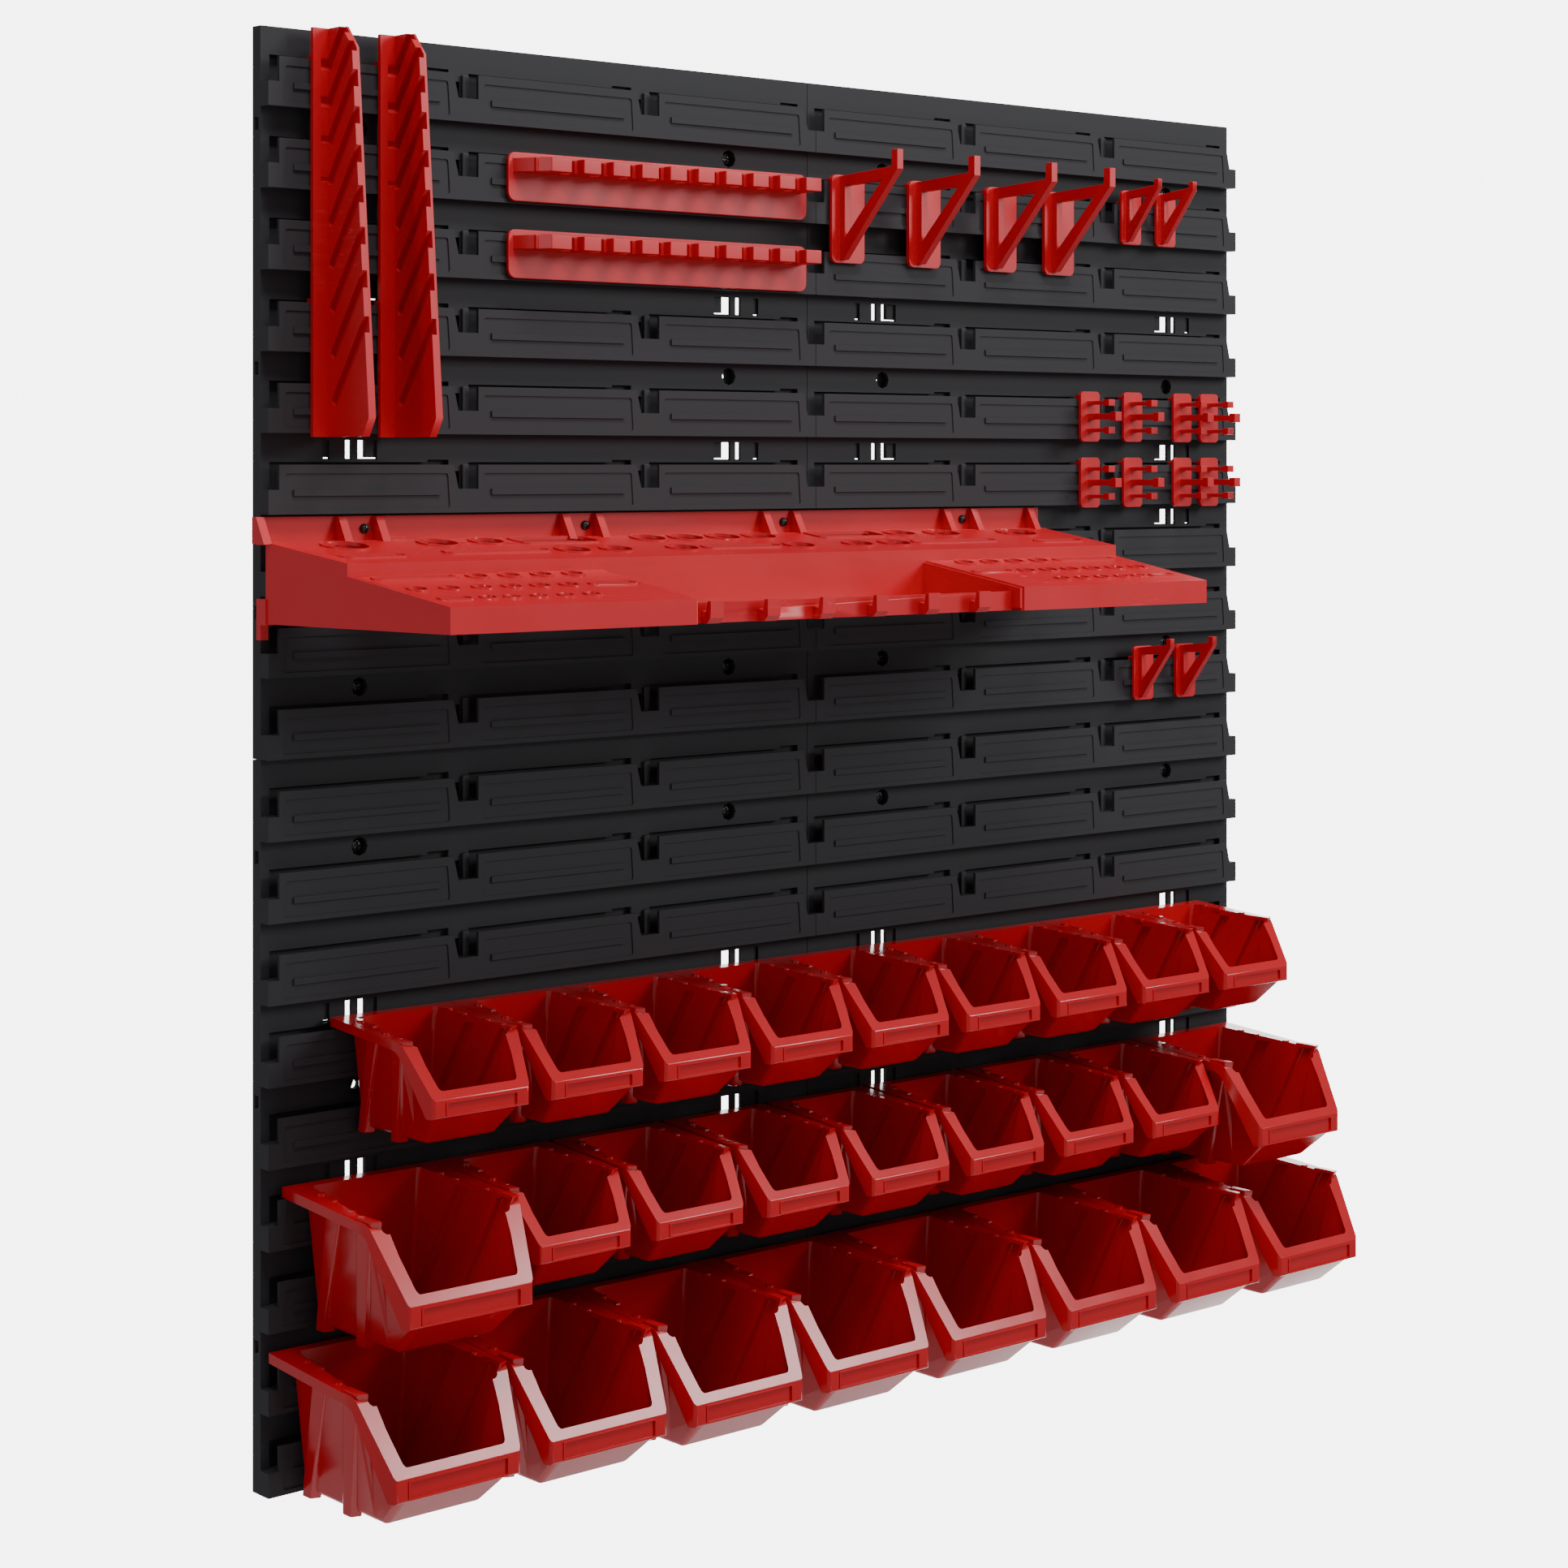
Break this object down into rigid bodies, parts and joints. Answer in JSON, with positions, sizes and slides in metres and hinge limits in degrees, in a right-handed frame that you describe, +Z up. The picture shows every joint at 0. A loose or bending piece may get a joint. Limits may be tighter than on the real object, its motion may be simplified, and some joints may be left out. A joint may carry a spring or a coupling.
{
  "type": "louvred tool wall",
  "caption": "Louvred plastic wall panels with rows of hook-on hopper bins, a tool shelf, wrench and screwdriver racks, hooks and tool clips.",
  "frame": {"origin": "on the wall plane, at the panels' middle, where the four panels meet: on the rear rim corner of the upper right panel", "axes": "+Z up, +X to the right seen from the front, +Y into the wall; everything stands out from the wall towards -Y"},
  "size_m": [0.7916, 0.168, 0.7798],
  "materials": {
    "black_plastic": "fine-grained moulded black polypropylene with a soft sheen and light scratches",
    "red_plastic": "glossy saturated red injection-moulded polypropylene",
    "satin_red": "satin red moulded plastic with a fine grain",
    "black_steel": "black-coated steel screw"
  },
  "bodies": {
    "wall_assembly": {"panel_upper_left": "black_plastic", "panel_upper_right": "black_plastic", "panel_lower_left": "black_plastic", "panel_lower_right": "black_plastic", "screw_upper_left_a": "black_steel", "screw_upper_left_b": "black_steel", "screw_upper_right_a": "black_steel", "screw_upper_right_b": "black_steel", "screw_lower_left_a": "black_steel", "screw_lower_left_b": "black_steel", "screw_lower_right_a": "black_steel", "screw_lower_right_b": "black_steel", "tool_shelf": "satin_red", "wrench_rack_left": "satin_red", "wrench_rack_right": "satin_red", "driver_rack_upper": "satin_red", "driver_rack_lower": "satin_red", "large_hook_1": "satin_red", "large_hook_2": "satin_red", "large_hook_3": "satin_red", "large_hook_4": "satin_red", "small_hook_1": "satin_red", "small_hook_2": "satin_red", "small_hook_3": "satin_red", "small_hook_4": "satin_red", "tool_clip_1": "satin_red", "tool_clip_2": "satin_red", "tool_clip_3": "satin_red", "tool_clip_4": "satin_red", "tool_clip_5": "satin_red", "tool_clip_6": "satin_red", "tool_clip_7": "satin_red", "tool_clip_8": "satin_red"},
    "bin_top_1": {"bin_top_1": "red_plastic"},
    "bin_top_2": {"bin_top_2": "red_plastic"},
    "bin_top_3": {"bin_top_3": "red_plastic"},
    "bin_top_4": {"bin_top_4": "red_plastic"},
    "bin_top_5": {"bin_top_5": "red_plastic"},
    "bin_top_6": {"bin_top_6": "red_plastic"},
    "bin_top_7": {"bin_top_7": "red_plastic"},
    "bin_top_8": {"bin_top_8": "red_plastic"},
    "bin_top_9": {"bin_top_9": "red_plastic"},
    "bin_middle_1": {"bin_middle_1": "red_plastic"},
    "bin_middle_2": {"bin_middle_2": "red_plastic"},
    "bin_middle_3": {"bin_middle_3": "red_plastic"},
    "bin_middle_4": {"bin_middle_4": "red_plastic"},
    "bin_middle_5": {"bin_middle_5": "red_plastic"},
    "bin_middle_6": {"bin_middle_6": "red_plastic"},
    "bin_middle_7": {"bin_middle_7": "red_plastic"},
    "bin_middle_8": {"bin_middle_8": "red_plastic"},
    "bin_middle_9": {"bin_middle_9": "red_plastic"},
    "bin_bottom_1": {"bin_bottom_1": "red_plastic"},
    "bin_bottom_2": {"bin_bottom_2": "red_plastic"},
    "bin_bottom_3": {"bin_bottom_3": "red_plastic"},
    "bin_bottom_4": {"bin_bottom_4": "red_plastic"},
    "bin_bottom_5": {"bin_bottom_5": "red_plastic"},
    "bin_bottom_6": {"bin_bottom_6": "red_plastic"},
    "bin_bottom_7": {"bin_bottom_7": "red_plastic"},
    "bin_bottom_8": {"bin_bottom_8": "red_plastic"}
  },
  "joints": [
    {"name": "bin_top_1_lift", "type": "slide", "parent": "wall_assembly", "child": "bin_top_1", "axis": [0, 0, 1], "range_m": [0, 0.0085]},
    {"name": "bin_top_2_lift", "type": "slide", "parent": "wall_assembly", "child": "bin_top_2", "axis": [0, 0, 1], "range_m": [0, 0.0085]},
    {"name": "bin_top_3_lift", "type": "slide", "parent": "wall_assembly", "child": "bin_top_3", "axis": [0, 0, 1], "range_m": [0, 0.0085]},
    {"name": "bin_top_4_lift", "type": "slide", "parent": "wall_assembly", "child": "bin_top_4", "axis": [0, 0, 1], "range_m": [0, 0.0085]},
    {"name": "bin_top_5_lift", "type": "slide", "parent": "wall_assembly", "child": "bin_top_5", "axis": [0, 0, 1], "range_m": [0, 0.0085]},
    {"name": "bin_top_6_lift", "type": "slide", "parent": "wall_assembly", "child": "bin_top_6", "axis": [0, 0, 1], "range_m": [0, 0.0085]},
    {"name": "bin_top_7_lift", "type": "slide", "parent": "wall_assembly", "child": "bin_top_7", "axis": [0, 0, 1], "range_m": [0, 0.0085]},
    {"name": "bin_top_8_lift", "type": "slide", "parent": "wall_assembly", "child": "bin_top_8", "axis": [0, 0, 1], "range_m": [0, 0.0085]},
    {"name": "bin_top_9_lift", "type": "slide", "parent": "wall_assembly", "child": "bin_top_9", "axis": [0, 0, 1], "range_m": [0, 0.0085]},
    {"name": "bin_middle_1_lift", "type": "slide", "parent": "wall_assembly", "child": "bin_middle_1", "axis": [0, 0, 1], "range_m": [0, 0.0085]},
    {"name": "bin_middle_2_lift", "type": "slide", "parent": "wall_assembly", "child": "bin_middle_2", "axis": [0, 0, 1], "range_m": [0, 0.0085]},
    {"name": "bin_middle_3_lift", "type": "slide", "parent": "wall_assembly", "child": "bin_middle_3", "axis": [0, 0, 1], "range_m": [0, 0.0085]},
    {"name": "bin_middle_4_lift", "type": "slide", "parent": "wall_assembly", "child": "bin_middle_4", "axis": [0, 0, 1], "range_m": [0, 0.0085]},
    {"name": "bin_middle_5_lift", "type": "slide", "parent": "wall_assembly", "child": "bin_middle_5", "axis": [0, 0, 1], "range_m": [0, 0.0085]},
    {"name": "bin_middle_6_lift", "type": "slide", "parent": "wall_assembly", "child": "bin_middle_6", "axis": [0, 0, 1], "range_m": [0, 0.0085]},
    {"name": "bin_middle_7_lift", "type": "slide", "parent": "wall_assembly", "child": "bin_middle_7", "axis": [0, 0, 1], "range_m": [0, 0.0085]},
    {"name": "bin_middle_8_lift", "type": "slide", "parent": "wall_assembly", "child": "bin_middle_8", "axis": [0, 0, 1], "range_m": [0, 0.0085]},
    {"name": "bin_middle_9_lift", "type": "slide", "parent": "wall_assembly", "child": "bin_middle_9", "axis": [0, 0, 1], "range_m": [0, 0.0085]},
    {"name": "bin_bottom_1_lift", "type": "slide", "parent": "wall_assembly", "child": "bin_bottom_1", "axis": [0, 0, 1], "range_m": [0, 0.0085]},
    {"name": "bin_bottom_2_lift", "type": "slide", "parent": "wall_assembly", "child": "bin_bottom_2", "axis": [0, 0, 1], "range_m": [0, 0.0085]},
    {"name": "bin_bottom_3_lift", "type": "slide", "parent": "wall_assembly", "child": "bin_bottom_3", "axis": [0, 0, 1], "range_m": [0, 0.0085]},
    {"name": "bin_bottom_4_lift", "type": "slide", "parent": "wall_assembly", "child": "bin_bottom_4", "axis": [0, 0, 1], "range_m": [0, 0.0085]},
    {"name": "bin_bottom_5_lift", "type": "slide", "parent": "wall_assembly", "child": "bin_bottom_5", "axis": [0, 0, 1], "range_m": [0, 0.0085]},
    {"name": "bin_bottom_6_lift", "type": "slide", "parent": "wall_assembly", "child": "bin_bottom_6", "axis": [0, 0, 1], "range_m": [0, 0.0085]},
    {"name": "bin_bottom_7_lift", "type": "slide", "parent": "wall_assembly", "child": "bin_bottom_7", "axis": [0, 0, 1], "range_m": [0, 0.0085]},
    {"name": "bin_bottom_8_lift", "type": "slide", "parent": "wall_assembly", "child": "bin_bottom_8", "axis": [0, 0, 1], "range_m": [0, 0.0085]}
  ]
}
